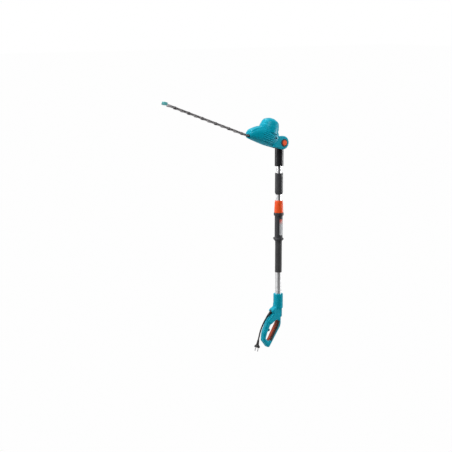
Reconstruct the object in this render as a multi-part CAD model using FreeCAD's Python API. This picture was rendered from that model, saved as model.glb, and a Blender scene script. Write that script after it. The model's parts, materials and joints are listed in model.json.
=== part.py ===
import FreeCAD, Part
import math
import os
from FreeCAD import Vector

# Electric pole hedge trimmer, millimetres.
# Frame: origin on the pole's axis at the middle of the lower rubber grip, +Z up the pole to the head,
# -X to the side the blade points to, Y along the axis that the head tilts about.
# "near" names the -Y side and "far" the +Y side.

os.makedirs("parts", exist_ok=True)

# ---------------------------------------------------------------- driving dimensions: pole
OUTER_TUBE_R = 14.75
OUTER_BORE_R = 13.55
INNER_TUBE_R = 13.25
INNER_BORE_R = 12.0
GRIP_R = 16.5
GRIP_HALF = 77.0
STRAP_RING_TOP = 96.0
SLEEVE_TOP = 200.0
BASE_TOP = 214.5
COLLAR_TOP = 273.5
NUT_BOTTOM = 303.0
NUT_TOP = 327.5
COUPLING_TOP = 406.0
NECK_BOTTOM = 439.0
NECK_TOP = 521.0
PIVOT_Z = 553.0
SLEEVE_R = 19.25
NECK_R = 21.0
RING_R = 24.25
COLLAR_BASE_R = 22.2
SOCKET_TOP = -183.5
SOCKET_R = 23.25
OUTER_TUBE_BOTTOM = -236.0
OUTER_TUBE_TOP = 210.0
INNER_TUBE_BOTTOM = -216.0
INNER_TUBE_TOP = 352.0
HEAD_TUBE_BOTTOM = 353.0
HEAD_TUBE_TOP = 528.0
STRAP_FLANGE_LOW = GRIP_HALF + 5
STRAP_FLANGE_HIGH = GRIP_HALF + 12
EYELET_Y = 30.0
EYELET_R = 4.0
LABEL_HALF = 8.5
LABEL_LOW = 106.0
LABEL_HIGH = 184.0
CLAMP_SLEEVE_R = 16.7
CLAMP_SLEEVE_TOP = 262.0
COLLAR_BORE_R = 17.0
COLLAR_FLUTES = 12
NUT_FLUTES = 16
NECK_SCREWS_Z = (462.0, 490.0)
NECK_SCREW_R = 2.0
NECK_SCREW_HEAD_R = 4.0
LEAD_COIL_R = 8.0
LEAD_COIL_BORE_R = 4.5
LEAD_COIL_TOP = 330.0
SCREW_R = 1.6
SCREW_HEAD_R = 3.0
SCREW_HEAD_H = 2.0
SCREW_POCKET_R = 3.1
SCREW_BOSS_R = 3.6

# ---------------------------------------------------------------- driving dimensions: handle
SHELL_WALL = 2.8
HOUSING_HALF = 17.5
LOOP_HALF = 14.5
HOUSING_ROUND = 6.5
LOOP_ROUND = 6.5
CORD_D = 7.0
# Side outlines as (x, z, corner radius).
HOUSING_OUTLINE = [
    (14, -230, 0), (14, -297, 8), (-22, -314, 20), (-56, -330, 14), (-76, -311, 10),
    (-39.4, -275, 4), (-49, -263.5, 7), (-38, -254, 10), (-21, -246, 10), (-21, -230, 0),
]
LOOP_OUTLINE = [
    (9, -290, 0), (9, -341, 45), (-66, -446, 9), (-100, -403, 9), (-95, -362, 70), (-68, -303, 0),
]
FINGER_OPENING = [
    (-6, -309, 6), (-31, -310, 10), (-57, -333, 30), (-74, -366, 60), (-84.5, -395, 8),
    (-65, -412, 8), (-17.5, -340, 60),
]
TRIGGER_OUTLINE = [
    (-11, -305, 3), (-10.5, -318.5, 12), (-21.8, -337.4, 60), (-67.3, -410.5, 4),
    (-57.5, -418.5, 6), (-11.5, -343.5, 30), (-3, -328, 20), (-3, -305, 3),
]
TRIGGER_PIVOT = (-58.5, -410.5)
TRIGGER_HALF = 9.0
TRIGGER_PIN_R = 2.5
HOOK_OUTLINE = [
    (-82, -354, 0), (-61, -355, 1), (-57, -350, 1.5), (-54, -352, 1.5), (-56, -362, 3), (-82, -363, 0),
]
# Shell screws as (x, z, boss half width).
HANDLE_SCREWS = [
    (18.4, -214, 13), (-18.4, -214, 13), (6, -290, 17), (-62, -318, 14), (-90, -397, 14), (-66, -432, 14),
]
LOCK_BUTTON_X = -6.0
LOCK_BUTTON_Z = -276.0
GLAND_BASE = (-44.0, -269.0)
GLAND_TIP = (-70.0, -292.0)
# Route of the cord from the strain relief to the plug, as (x, z) at y = 0.
CORD_ROUTE = [(-70, -292), (-87, -313), (-101, -337), (-111, -360), (-117, -382), (-121, -396)]
PLUG_FACE = (-129.6, -432.6)
PLUG_PIN_R = 2.4
PLUG_PIN_LENGTH = 19.0
PLUG_PIN_SPACING = 19.0

# ---------------------------------------------------------------- driving dimensions: head
# Head pieces are built with the blade pointing along -X and then tipped up about the pivot.
BLADE_RISE_DEG = 20.0
KNUCKLE_R = 32.0
KNUCKLE_HALF = 38.0
CORE_R = 28.5
CORE_HALF = 21.7
EAR_INNER = 22.0
EAR_ROUND = 10.0
BUTTON_R = 12.5
RIM_R = 18.0
MOTOR_L = 84.0
GEAR_MODULE = 1.0
PINION_TEETH = 8
WHEEL_TEETH = 64
GEAR_L = MOTOR_L + GEAR_MODULE * (PINION_TEETH + WHEEL_TEETH) / 2
CRANK_THROW = 10.0
CRANK_PIN_R = 6.5
CRANK_SHAFT_R = 5.0
BLADE_PITCH = 40.0
BLADE_TEETH = 12
FIRST_TOOTH_L = 212.0
BLADE_END_L = 662.0
BLADE_TIP_L = 702.0
BLADE_SPINE = 15.0
BLADE_FRAME = 3.5
TOOTH_REACH = 32.0
TOOTH_ROOT = 9.0
TOOTH_TIP = 4.0
BLADE_THICK = 2.0
BLADE_MID_H = -26.5
BLADE_GAP = 0.2
BAR_THICK = 3.0
MOUTH_HALF = 16.5
BAR_BOLTS_L = (161.0, 172.0)
# Screws of the head's shells as (distance from the pivot, height, boss half width).
HEAD_SCREWS = [(150, 18, 37), (181, -9, 26), (52, -30, 34)]
ARM_SCREW = (58.0, 7.0)
ARM_SCREW_R = 5.5
HOOD_R = 48.0
HOOD_TOP_H = 92.0
HOOD_WALL = 2.6
STATOR_R = 34.9
STATOR_BORE_R = 21.6
STACK_LOW_H = 24.0
STACK_HIGH_H = 62.0
ARMATURE_R = 21.0
SHAFT_R = 4.0
COMMUTATOR_R = 12.0
BEARING_R = 11.0
BEARING_BORE_R = 4.04
BEARING_W = 7.0
FAN_R = 32.0
FAN_VANES = 11
SCREW_PITCH = 80.0
FIRST_SCREW_L = 230.0
SCREW_COUNT = 6
BAR_TOP_H = BLADE_MID_H + BLADE_GAP * 1.5 + BLADE_THICK + BAR_THICK
# Boat-shaped lower body: sections as (distance from pivot, half width, bottom, top).
BOAT_SECTIONS = [
    (38, 36, -36, 44), (60, 43, -38.5, 48), (92, 47, -40, 50), (122, 45, -39.5, 45),
    (150, 38.5, -38.5, 35), (173, 31, -37.5, 21), (186, 26, -36.5, 12), (195, 21.5, -34.5, 2),
]


# ---------------------------------------------------------------- helpers
def save(name, shape):
    shape.exportStep("parts/" + name + ".step")


def ring(r_out, r_in, z0, z1):
    body = Part.makeCylinder(r_out, z1 - z0, Vector(0, 0, z0))
    return body.cut(Part.makeCylinder(r_in, z1 - z0 + 2, Vector(0, 0, z0 - 1)))


def rod(radius, start, end):
    start = Vector(*start)
    way = Vector(*end) - start
    return Part.makeCylinder(radius, way.Length, start, way)


def block(low, high):
    size = Vector(*high) - Vector(*low)
    return Part.makeBox(size.x, size.y, size.z, Vector(*low))


def fuse_all(shapes):
    return shapes[0].multiFuse(shapes[1:]).removeSplitter()


def rounded_wire(outline):
    """Closed wire in the XZ plane through (x, z, radius) corners, each rounded by a tangent arc."""
    edges = []
    ends = []
    count = len(outline)
    for i, (x, z, radius) in enumerate(outline):
        corner = Vector(x, 0, z)
        before = (Vector(outline[i - 1][0], 0, outline[i - 1][1]) - corner).normalize()
        after_point = outline[(i + 1) % count]
        after = (Vector(after_point[0], 0, after_point[1]) - corner).normalize()
        if radius == 0:
            ends.append((corner, corner))
            continue
        half = before.getAngle(after) / 2
        reach = radius / math.tan(half)
        middle = corner + (before + after).normalize() * (radius / math.sin(half) - radius)
        start = corner + before * reach
        end = corner + after * reach
        edges.append(Part.Arc(start, middle, end).toShape())
        ends.append((start, end))
    for i in range(count):
        start = ends[i - 1][1]
        end = ends[i][0]
        if start.distanceToPoint(end) > 1e-6:
            edges.append(Part.LineSegment(start, end).toShape())
    return Part.Wire(Part.__sortEdges__(edges))


def slab(wire, y0, y1):
    """Solid between the planes y0 and y1 with an XZ wire as its outline."""
    face = Part.Face(wire)
    face.translate(Vector(0, y0, 0))
    return face.extrude(Vector(0, y1 - y0, 0))


def round_sides(shape, half, radius):
    """Rounds the outline edges that lie in the planes y = -half and y = +half."""
    edges = []
    for edge in shape.Edges:
        box = edge.BoundBox
        if box.YLength < 1e-4 and abs(abs(box.YMin) - half) < 1e-4:
            edges.append(edge)
    return shape.makeFillet(radius, edges)


def round_rim(shape, rim_r, z, radius):
    """Rounds the circular edge of radius rim_r that lies in the plane at height z."""
    edges = [e for e in shape.Edges
             if e.BoundBox.ZLength < 1e-4 and abs(e.BoundBox.ZMin - z) < 1e-4
             and abs(e.BoundBox.XLength / 2 - rim_r) < 1e-2]
    return shape.makeFillet(radius, edges)


def revolved(profile):
    """Solid of revolution about Z from an (x, z, corner radius) outline."""
    return Part.Face(rounded_wire(profile)).revolve(Vector(0, 0, 0), Vector(0, 0, 1), 360)


def halves(shape):
    """Splits a shape at y = 0 into its near and far parts."""
    box = shape.BoundBox
    low = (box.XMin - 5, box.YMin - 5, box.ZMin - 5)
    high = (box.XMax + 5, box.YMax + 5, box.ZMax + 5)
    near = shape.common(block(low, (high[0], 0, high[2])))
    far = shape.common(block((low[0], 0, low[2]), high))
    return near, far


def spring_sleeve(radius, wire_r, height):
    """Sleeve of the space that a coil spring about Z takes, from z = 0."""
    return ring(radius + wire_r, radius - wire_r, 0, height)


def placed_in_head(shape):
    """Moves a piece from the head's own frame to its place on the pole."""
    placed = shape.copy()
    placed.rotate(Vector(0, 0, 0), Vector(0, 1, 0), BLADE_RISE_DEG)
    placed.translate(Vector(0, 0, PIVOT_Z))
    return placed


# ---------------------------------------------------------------- pole
def make_pole():
    save("outer_tube", ring(OUTER_TUBE_R, OUTER_BORE_R, OUTER_TUBE_BOTTOM, OUTER_TUBE_TOP))

    grip = ring(GRIP_R, OUTER_TUBE_R, -GRIP_HALF, GRIP_HALF)
    save("foam_grip", round_rim(grip, GRIP_R, -GRIP_HALF, 1.0))

    strap_ring = revolved([
        (OUTER_TUBE_R, GRIP_HALF, 0), (SLEEVE_R, GRIP_HALF, 1.5), (SLEEVE_R + 0.5, STRAP_FLANGE_LOW, 1),
        (RING_R, STRAP_FLANGE_LOW + 1, 1.5), (RING_R, STRAP_FLANGE_HIGH, 2),
        (SLEEVE_R + 1, STRAP_FLANGE_HIGH + 2, 2), (SLEEVE_R + 0.6, STRAP_RING_TOP, 1),
        (OUTER_TUBE_R, STRAP_RING_TOP, 0),
    ])
    lug = fuse_all([
        block((-7, 0, STRAP_FLANGE_LOW + 1), (7, EYELET_Y, STRAP_FLANGE_HIGH)),
        rod(7, (0, EYELET_Y, STRAP_FLANGE_LOW + 1), (0, EYELET_Y, STRAP_FLANGE_HIGH)),
    ])
    lug = lug.cut(Part.makeCylinder(OUTER_TUBE_R + 1, 40, Vector(0, 0, STRAP_FLANGE_LOW - 10)))
    eyelet = rod(EYELET_R, (0, EYELET_Y, STRAP_FLANGE_LOW - 5), (0, EYELET_Y, STRAP_FLANGE_HIGH + 5))
    save("strap_ring", fuse_all([strap_ring, lug]).cut(eyelet))

    sleeve = ring(SLEEVE_R, OUTER_TUBE_R, STRAP_RING_TOP, SLEEVE_TOP)
    label_outline = rounded_wire([
        (-LABEL_HALF, LABEL_LOW, 4), (LABEL_HALF, LABEL_LOW, 4),
        (LABEL_HALF, LABEL_HIGH, 4), (-LABEL_HALF, LABEL_HIGH, 4),
    ])
    label_zone = slab(label_outline, -40, 0)
    label_bed = ring(SLEEVE_R + 5, SLEEVE_R - 0.4, STRAP_RING_TOP, SLEEVE_TOP).common(label_zone)
    save("guide_sleeve", sleeve.cut(label_bed))
    label = ring(SLEEVE_R + 0.1, SLEEVE_R - 0.4, STRAP_RING_TOP, SLEEVE_TOP).common(label_zone)
    save("side_label", label)

    base = revolved([
        (OUTER_BORE_R, OUTER_TUBE_TOP, 0), (OUTER_TUBE_R, OUTER_TUBE_TOP, 0), (OUTER_TUBE_R, SLEEVE_TOP, 0),
        (RING_R - 0.5, SLEEVE_TOP, 2), (RING_R - 0.5, BASE_TOP - 0.5, 2),
        (CLAMP_SLEEVE_R, BASE_TOP - 0.5, 0), (CLAMP_SLEEVE_R, CLAMP_SLEEVE_TOP, 1),
        (OUTER_BORE_R, CLAMP_SLEEVE_TOP, 0),
    ])
    for i in range(4):
        slit = block((OUTER_BORE_R - 1, -1.2, CLAMP_SLEEVE_TOP - 30), (20, 1.2, CLAMP_SLEEVE_TOP + 2))
        slit.rotate(Vector(0, 0, 0), Vector(0, 0, 1), 45 + 90 * i)
        base = base.cut(slit)
    save("clamp_base", base)

    collar = revolved([
        (COLLAR_BORE_R, BASE_TOP, 0), (COLLAR_BASE_R, BASE_TOP, 2), (COLLAR_BASE_R - 0.6, BASE_TOP + 10, 3),
        (SLEEVE_R + 0.3, COLLAR_TOP - 8, 20), (SLEEVE_R - 1.5, COLLAR_TOP, 2),
        (INNER_TUBE_R + 0.5, COLLAR_TOP, 0), (INNER_TUBE_R + 0.5, CLAMP_SLEEVE_TOP + 1, 0),
        (COLLAR_BORE_R, CLAMP_SLEEVE_TOP + 1, 0),
    ])
    for i in range(COLLAR_FLUTES):
        groove = rod(2.2, (COLLAR_BASE_R + 1.2, 0, BASE_TOP + 12), (SLEEVE_R + 1.2, 0, COLLAR_TOP - 6))
        groove.rotate(Vector(0, 0, 0), Vector(0, 0, 1), 360 / COLLAR_FLUTES * i)
        collar = collar.cut(groove)
    save("clamp_collar", collar)

    save("inner_tube", ring(INNER_TUBE_R, INNER_BORE_R, INNER_TUBE_BOTTOM, INNER_TUBE_TOP))
    bush = ring(OUTER_BORE_R - 0.05, INNER_BORE_R, INNER_TUBE_BOTTOM - 8, INNER_TUBE_BOTTOM)
    save("slide_bush", bush)

    coupling = ring(SLEEVE_R, INNER_TUBE_R, NUT_TOP, COUPLING_TOP)
    coupling = round_rim(coupling, SLEEVE_R, COUPLING_TOP, 2.0)
    save("coupling_sleeve", coupling)
    nut = revolved([
        (INNER_TUBE_R, NUT_BOTTOM, 0), (16, NUT_BOTTOM, 2), (SLEEVE_R, NUT_BOTTOM + 9, 9),
        (SLEEVE_R, NUT_TOP, 1), (INNER_TUBE_R, NUT_TOP, 0),
    ])
    for i in range(NUT_FLUTES):
        groove = rod(1.5, (SLEEVE_R + 0.7, 0, NUT_BOTTOM + 6), (SLEEVE_R + 0.7, 0, NUT_TOP - 3))
        groove.rotate(Vector(0, 0, 0), Vector(0, 0, 1), 360 / NUT_FLUTES * i)
        nut = nut.cut(groove)
    save("coupling_nut", nut)

    neck = ring(NECK_R, INNER_TUBE_R, NECK_BOTTOM, NECK_TOP)
    neck = round_rim(neck, NECK_R, NECK_BOTTOM, 3.0)
    screws = []
    for z in NECK_SCREWS_Z:
        shank = rod(NECK_SCREW_R, (0, INNER_BORE_R + 0.2, z), (0, NECK_R - 2, z))
        head = rod(NECK_SCREW_HEAD_R, (0, NECK_R - 4, z), (0, NECK_R - 2, z))
        neck = neck.cut(rod(NECK_SCREW_HEAD_R, (0, NECK_R - 4, z), (0, NECK_R + 2, z)))
        neck = neck.cut(rod(NECK_SCREW_R, (0, INNER_BORE_R, z), (0, NECK_R, z)))
        drive = block((-2.5, NECK_R - 2.8, z - 0.5), (2.5, NECK_R - 1, z + 0.5))
        screws.append(head.fuse(shank).cut(drive))
    save("neck_sleeve", neck)
    tube_holes = Part.makeCompound([rod(NECK_SCREW_R, (0, 0, z), (0, NECK_R, z)) for z in NECK_SCREWS_Z])
    head_tube = ring(INNER_TUBE_R, INNER_BORE_R, HEAD_TUBE_BOTTOM, HEAD_TUBE_TOP).cut(tube_holes)
    save("head_tube", head_tube)
    save("neck_screws", Part.makeCompound(screws))


# ---------------------------------------------------------------- handle
def handle_solid(inset):
    """Handle body, shrunk on every side by inset; the outer skin has inset 0."""
    def outline(corners, grow):
        wire = rounded_wire(corners)
        return wire.makeOffset2D(grow) if grow else wire

    socket = Part.makeCylinder(SOCKET_R - inset, 70 - inset, Vector(0, 0, SOCKET_TOP - 70))
    if not inset:
        socket = round_rim(socket, SOCKET_R, SOCKET_TOP, 2.5)
    housing = slab(outline(HOUSING_OUTLINE, -inset), -HOUSING_HALF + inset, HOUSING_HALF - inset)
    loop = slab(outline(LOOP_OUTLINE, -inset), -LOOP_HALF + inset, LOOP_HALF - inset)
    loop = loop.cut(slab(outline(FINGER_OPENING, inset), -40, 40))
    housing = round_sides(housing, HOUSING_HALF - inset, HOUSING_ROUND - inset)
    loop = round_sides(loop, LOOP_HALF - inset, LOOP_ROUND - inset)
    return socket.fuse(housing).fuse(loop).cut(slab(outline(FINGER_OPENING, inset), -40, 40))


def make_handle():
    skin = handle_solid(0)
    shell = skin.cut(handle_solid(SHELL_WALL))
    for z in (SOCKET_TOP - 9, -230):
        rib = Part.makeCylinder(SOCKET_R - 1, 3, Vector(0, 0, z))
        shell = shell.fuse(rib)
    screws = []
    for x, z, half in HANDLE_SCREWS:
        shell = shell.fuse(rod(SCREW_BOSS_R, (x, -half, z), (x, half, z)).common(skin))
        shell = shell.cut(rod(SCREW_R, (x, -9, z), (x, 12, z)))
        shell = shell.cut(rod(SCREW_POCKET_R, (x, 9, z), (x, 40, z)))
        screw = rod(SCREW_HEAD_R, (x, 9, z), (x, 9 + SCREW_HEAD_H, z))
        screw = screw.fuse(rod(SCREW_R, (x, -9, z), (x, 9, z)))
        screws.append(screw.cut(block((x - 2, 10, z - 0.4), (x + 2, 12, z + 0.4))))
    tx, tz = TRIGGER_PIVOT
    boss = rod(5, (tx, -LOOP_HALF + 1, tz), (tx, LOOP_HALF - 1, tz))
    shell = shell.fuse(boss.cut(rod(8, (tx, -TRIGGER_HALF - 0.5, tz), (tx, TRIGGER_HALF + 0.5, tz))))
    shell = shell.cut(rod(TRIGGER_PIN_R, (tx, -14, tz), (tx, 14, tz)))
    slot = rounded_wire(TRIGGER_OUTLINE).makeOffset2D(0.7)
    shell = shell.cut(slab(slot, -TRIGGER_HALF - 0.5, TRIGGER_HALF + 0.5))
    shell = shell.cut(Part.makeCylinder(OUTER_TUBE_R, 60, Vector(0, 0, OUTER_TUBE_BOTTOM)))
    shell = shell.cut(rod(7.3, (LOCK_BUTTON_X, 13, LOCK_BUTTON_Z), (LOCK_BUTTON_X, 30, LOCK_BUTTON_Z)))

    pad_band = rounded_wire(LOOP_OUTLINE).makeOffset2D(1.0)
    pad = slab(pad_band, -9, 9).cut(slab(rounded_wire(LOOP_OUTLINE).makeOffset2D(-1.2), -20, 20))
    pad_zone = rounded_wire([(30, -316, 0), (-4, -316, 0), (-10, -345, 0), (-67, -424, 0), (-40, -450, 0)])
    pad = pad.common(slab(pad_zone, -10, 10))
    save("handle_soft_grip", pad)
    shell = shell.cut(pad)

    hook = slab(rounded_wire(HOOK_OUTLINE), -4.5, 4.5)
    save("cable_hook", hook)
    shell = shell.cut(hook)

    gx, gz = GLAND_BASE
    way = Vector(GLAND_TIP[0] - gx, 0, GLAND_TIP[1] - gz)
    length = way.Length
    way.normalize()
    base = Vector(gx, 0, gz)
    gland = Part.makeCone(7.0, 4.4, length, base, way)
    flange = Part.makeCylinder(9.5, 3, base - way * 6, way)
    stem = Part.makeCylinder(6.5, 5, base - way * 5, way)
    gland = fuse_all([gland, flange, stem])
    for i in range(5):
        at = base + way * (7 + 5 * i)
        radius = 7.0 - 2.6 * (7 + 5 * i) / length
        groove = Part.makeCylinder(radius + 1, 1.6, at, way)
        groove = groove.cut(Part.makeCylinder(radius - 0.9, 1.6, at, way))
        gland = gland.cut(groove)
    lead_start, lead_next = [(x, 0, z) for x, z in CORD_ROUTE[:2]]
    save("cord_gland", gland.cut(rod(CORD_D / 2, lead_start, lead_next)))
    shell = shell.cut(Part.makeCylinder(9.5, 3, base - way * 6, way))
    shell = shell.cut(Part.makeCylinder(6.5, 12, base - way * 5, way))
    near, far = halves(shell)
    save("handle_shell_near", near)
    save("handle_shell_far", far)
    save("handle_screws", Part.makeCompound(screws))

    trigger = slab(rounded_wire(TRIGGER_OUTLINE), -TRIGGER_HALF, TRIGGER_HALF)
    trigger = round_sides(trigger, TRIGGER_HALF, 2.5)
    save("trigger", trigger.cut(rod(TRIGGER_PIN_R + 0.05, (tx, -12, tz), (tx, 12, tz))))
    save("trigger_pin", rod(TRIGGER_PIN_R, (tx, -14, tz), (tx, 14, tz)))
    spring = spring_sleeve(3.2, 0.5, 9.6)
    spring.rotate(Vector(0, 0, 0), Vector(0, 1, 0), 122)
    spring.translate(Vector(-25.0, 0, -367.0))
    save("trigger_spring", spring)

    lx, lz = LOCK_BUTTON_X, LOCK_BUTTON_Z
    button = fuse_all([rod(7.0, (lx, 12, lz), (lx, 20.5, lz)), rod(9.0, (lx, 11.7, lz), (lx, 13.4, lz))])
    rim = [e for e in button.Edges if abs(e.BoundBox.YMin - 20.5) < 1e-4 and e.BoundBox.YLength < 1e-4]
    save("lock_off_button", button.makeFillet(1.5, rim))
    spring = spring_sleeve(4.5, 0.3, 2.6)
    spring.rotate(Vector(0, 0, 0), Vector(1, 0, 0), -90)
    spring.translate(Vector(lx, 8.5, lz))
    save("lock_off_spring", spring)
    switch = block((-22, -8, -297), (2, 8, -252))
    switch = switch.fuse(rod(2.5, (-8, 0, -303), (-8, 0, -297)))
    save("switch_module", switch)

    lead = ring(LEAD_COIL_R, LEAD_COIL_BORE_R, OUTER_TUBE_BOTTOM - 2, LEAD_COIL_TOP)
    save("coiled_lead", lead)


def make_cord():
    points = [Vector(x, 0, z) for x, z in CORD_ROUTE]
    edges = []
    start = points[0]
    for i in range(1, len(points) - 1):
        before = points[i - 1] - points[i]
        after = points[i + 1] - points[i]
        half = before.getAngle(after) / 2
        reach = 0.45 * min(before.Length, after.Length)
        radius = reach * math.tan(half)
        before.normalize()
        after.normalize()
        middle = points[i] + (before + after).normalize() * (radius / math.sin(half) - radius)
        arc_start = points[i] + before * reach
        arc_end = points[i] + after * reach
        edges.append(Part.LineSegment(start, arc_start).toShape())
        edges.append(Part.Arc(arc_start, middle, arc_end).toShape())
        start = arc_end
    edges.append(Part.LineSegment(start, points[-1]).toShape())
    path = Part.Wire(edges)
    section = Part.Wire(Part.makeCircle(CORD_D / 2, points[0], points[1] - points[0]))
    cord = path.makePipeShell([section], True, True)
    save("power_cord", cord)

    neck = points[-1]
    face = Vector(PLUG_FACE[0], 0, PLUG_FACE[1])
    length = (face - neck).Length
    # The plug is made about Z with its face at z = 0 and its neck above, then tipped into line.
    oval = Part.Ellipse(Vector(0, 0, 0), 16.5, 11.5).toShape()
    oval.rotate(Vector(0, 0, 0), Vector(0, 0, 1), 90)
    top = Part.Ellipse(Vector(0, 0, 0), 15, 10.3).toShape()
    top.rotate(Vector(0, 0, 0), Vector(0, 0, 1), 90)
    top.translate(Vector(0, 0, 9))
    shoulder = Part.makeCircle(7.5, Vector(0, 0, 13), Vector(0, 0, 1))
    end = Part.makeCircle(CORD_D / 2 + 1, Vector(0, 0, length), Vector(0, 0, 1))
    flange = Part.makeLoft([Part.Wire(oval), Part.Wire(top)], True, True)
    dome = Part.makeLoft([Part.Wire(top), Part.Wire(shoulder)], True, True)
    tail = Part.makeLoft([Part.Wire(shoulder), Part.Wire(end)], True, True)
    body = flange.fuse(dome).fuse(tail)
    pins = []
    for y in (-PLUG_PIN_SPACING / 2, PLUG_PIN_SPACING / 2):
        pin = Part.makeCylinder(PLUG_PIN_R, PLUG_PIN_LENGTH + 6, Vector(0, y, -PLUG_PIN_LENGTH))
        body = body.cut(pin)
        tip_edges = [e for e in pin.Edges if e.BoundBox.ZMax < -PLUG_PIN_LENGTH + 1e-3]
        pins.append(pin.makeFillet(1.2, tip_edges))
    pins = Part.makeCompound(pins)
    up = neck - face
    tip_angle = math.degrees(math.atan2(up.x, up.z))
    for shape in (body, pins):
        shape.rotate(Vector(0, 0, 0), Vector(0, 1, 0), tip_angle)
        shape.translate(face)
    save("plug_body", body)
    save("plug_pins", pins)


# ---------------------------------------------------------------- head
def boat_section(l, half, low, high):
    """Squarish oval across the head at distance l from the pivot."""
    power = 2 / 2.25
    middle = (low + high) / 2
    rise = (high - low) / 2
    points = []
    for i in range(20):
        turn = math.tau * (i + 0.5) / 20
        c, s = math.cos(turn), math.sin(turn)
        points.append(Vector(-l, math.copysign(half * abs(c) ** power, c),
                             middle + math.copysign(rise * abs(s) ** power, s)))
    curve = Part.BSplineCurve()
    curve.interpolate(Points=points, PeriodicFlag=True)
    return Part.Wire(curve.toShape())


def boat_solid(inset):
    """Lower body of the head, shrunk on every side by inset."""
    wires = []
    last = len(BOAT_SECTIONS) - 1
    for i, (l, half, low, high) in enumerate(BOAT_SECTIONS):
        shift = inset if i == 0 else -inset if i == last else 0
        wires.append(boat_section(l + shift, half - inset, low + inset, high - inset))
    return Part.makeLoft(wires, True, False)


def hood_solid(inset, base_h):
    """Domed motor hood about the motor's axis, from height base_h upward."""
    r = HOOD_R - inset
    top = HOOD_TOP_H - inset
    hood = revolved([
        (0, base_h, 0), (r, base_h, 0), (r - 1, 50, 25), (r - 9, 80, 24), (14, top, 22), (0, top, 0),
    ])
    hood.translate(Vector(-MOTOR_L, 0, 0))
    return hood


def tangent_point(px, pz, radius, side):
    """Point where a line from (px, pz) touches a circle about the origin, on the given side."""
    turn = math.atan2(pz, px) + side * math.acos(radius / math.hypot(px, pz))
    return radius * math.cos(turn), radius * math.sin(turn)


def ear_blank(y0, y1):
    """Knuckle disc with the arm that carries it to the boat."""
    upper = tangent_point(-56, 16, KNUCKLE_R, -1)
    lower = tangent_point(-56, -36, KNUCKLE_R, 1)
    arm = slab(rounded_wire([(*upper, 0), (-56, 16, 0), (-56, -36, 0), (*lower, 0)]), y0, y1)
    disc = rod(KNUCKLE_R, (0, y0, 0), (0, y1, 0))
    return disc.fuse(arm).removeSplitter()


def make_head_shells():
    boat = boat_solid(0)
    shell = boat.cut(boat_solid(SHELL_WALL))
    shell = shell.cut(Part.makeCylinder(STATOR_R + 3.1, 90, Vector(-MOTOR_L, 0, 12)))
    shell = shell.cut(block((-40, -EAR_INNER, -80), (-20, EAR_INNER, 80)))
    mouth = block((-230, -MOUTH_HALF, -31.5), (-172, MOUTH_HALF, -18))
    shell = shell.cut(mouth)
    for side in (-1, 1):
        y0, y1 = sorted((side * EAR_INNER, side * KNUCKLE_HALF))
        ear = ear_blank(y0, y1)
        outer_edges = [e for e in ear.Edges
                       if e.BoundBox.YLength < 1e-4 and abs(e.BoundBox.YMin - side * KNUCKLE_HALF) < 1e-4
                       and e.BoundBox.XMin > -55.9]
        ear = ear.makeFillet(EAR_ROUND, outer_edges)
        shell = shell.fuse(ear)
    for side in (-1, 1):
        def along(radius, a, b, l=0.0, h=0.0):
            return rod(radius, (-l, side * a, h), (-l, side * b, h))
        shell = shell.cut(along(6.0, EAR_INNER - 1, 27.5))
        shell = shell.cut(along(BUTTON_R + 0.3, 27.0, 50))
        shell = shell.cut(along(RIM_R, 36.5, 50))
        shell = shell.fuse(along(ARM_SCREW_R + 2, 32, 60, *ARM_SCREW).common(boat))
        shell = shell.cut(along(ARM_SCREW_R, 36, 60, *ARM_SCREW))
        for i in range(5):
            h = -20 + 10.5 * i
            start = 70 + 3 * abs(i - 2)
            slot = rounded_wire([(-start, h - 1.6, 1.5), (-start, h + 1.6, 1.5),
                                 (-start - 46, h + 1.6, 1.5), (-start - 46, h - 1.6, 1.5)])
            y0, y1 = sorted((side * 34, side * 60))
            shell = shell.cut(slab(slot, y0, y1))
    screws = []
    for l, h, half in HEAD_SCREWS:
        boss = rod(SCREW_BOSS_R, (-l, -half, h), (-l, half, h)).common(boat)
        seat = half - 10
        shell = shell.fuse(boss)
        shell = shell.cut(rod(SCREW_R, (-l, -12, h), (-l, half, h)))
        shell = shell.cut(rod(SCREW_POCKET_R, (-l, seat, h), (-l, 60, h)))
        screw = rod(SCREW_HEAD_R, (-l, seat, h), (-l, seat + SCREW_HEAD_H, h))
        screw = screw.fuse(rod(SCREW_R, (-l, -12, h), (-l, seat, h)))
        screws.append(screw.cut(block((-l - 2, seat + 1, h - 0.4), (-l + 2, seat + 3, h + 0.4))))
    for side in (-1, 1):
        l, h = ARM_SCREW
        head = rod(ARM_SCREW_R - 0.1, (-l, side * 36, h), (-l, side * 38, h))
        drive = block((-l - 3.5, side * 37.6 - 0.8, h - 0.5), (-l + 3.5, side * 37.6 + 0.8, h + 0.5))
        screws.append(head.cut(drive))
    near, far = halves(shell)
    save("head_shell_near", placed_in_head(near))
    save("head_shell_far", placed_in_head(far))
    save("head_screws", placed_in_head(Part.makeCompound(screws)))

    hood = hood_solid(0, 20).cut(hood_solid(HOOD_WALL, 10)).cut(boat)
    for i in range(4):
        rib = block((STATOR_R, -2, 52), (42.5, 2, 61))
        rib.rotate(Vector(0, 0, 0), Vector(0, 0, 1), 45 + 90 * i)
        rib.translate(Vector(-MOTOR_L, 0, 0))
        hood = hood.fuse(rib)
    cup = ring(BEARING_R + 3, BEARING_R, 78, 90)
    cup.translate(Vector(-MOTOR_L, 0, 0))
    hood = hood.fuse(cup).cut(Part.makeCylinder(BEARING_R, 8, Vector(-MOTOR_L, 0, 78)))
    solids = sorted(hood.Solids, key=lambda piece: piece.Volume)
    save("motor_hood", placed_in_head(solids[-1]))


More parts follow.
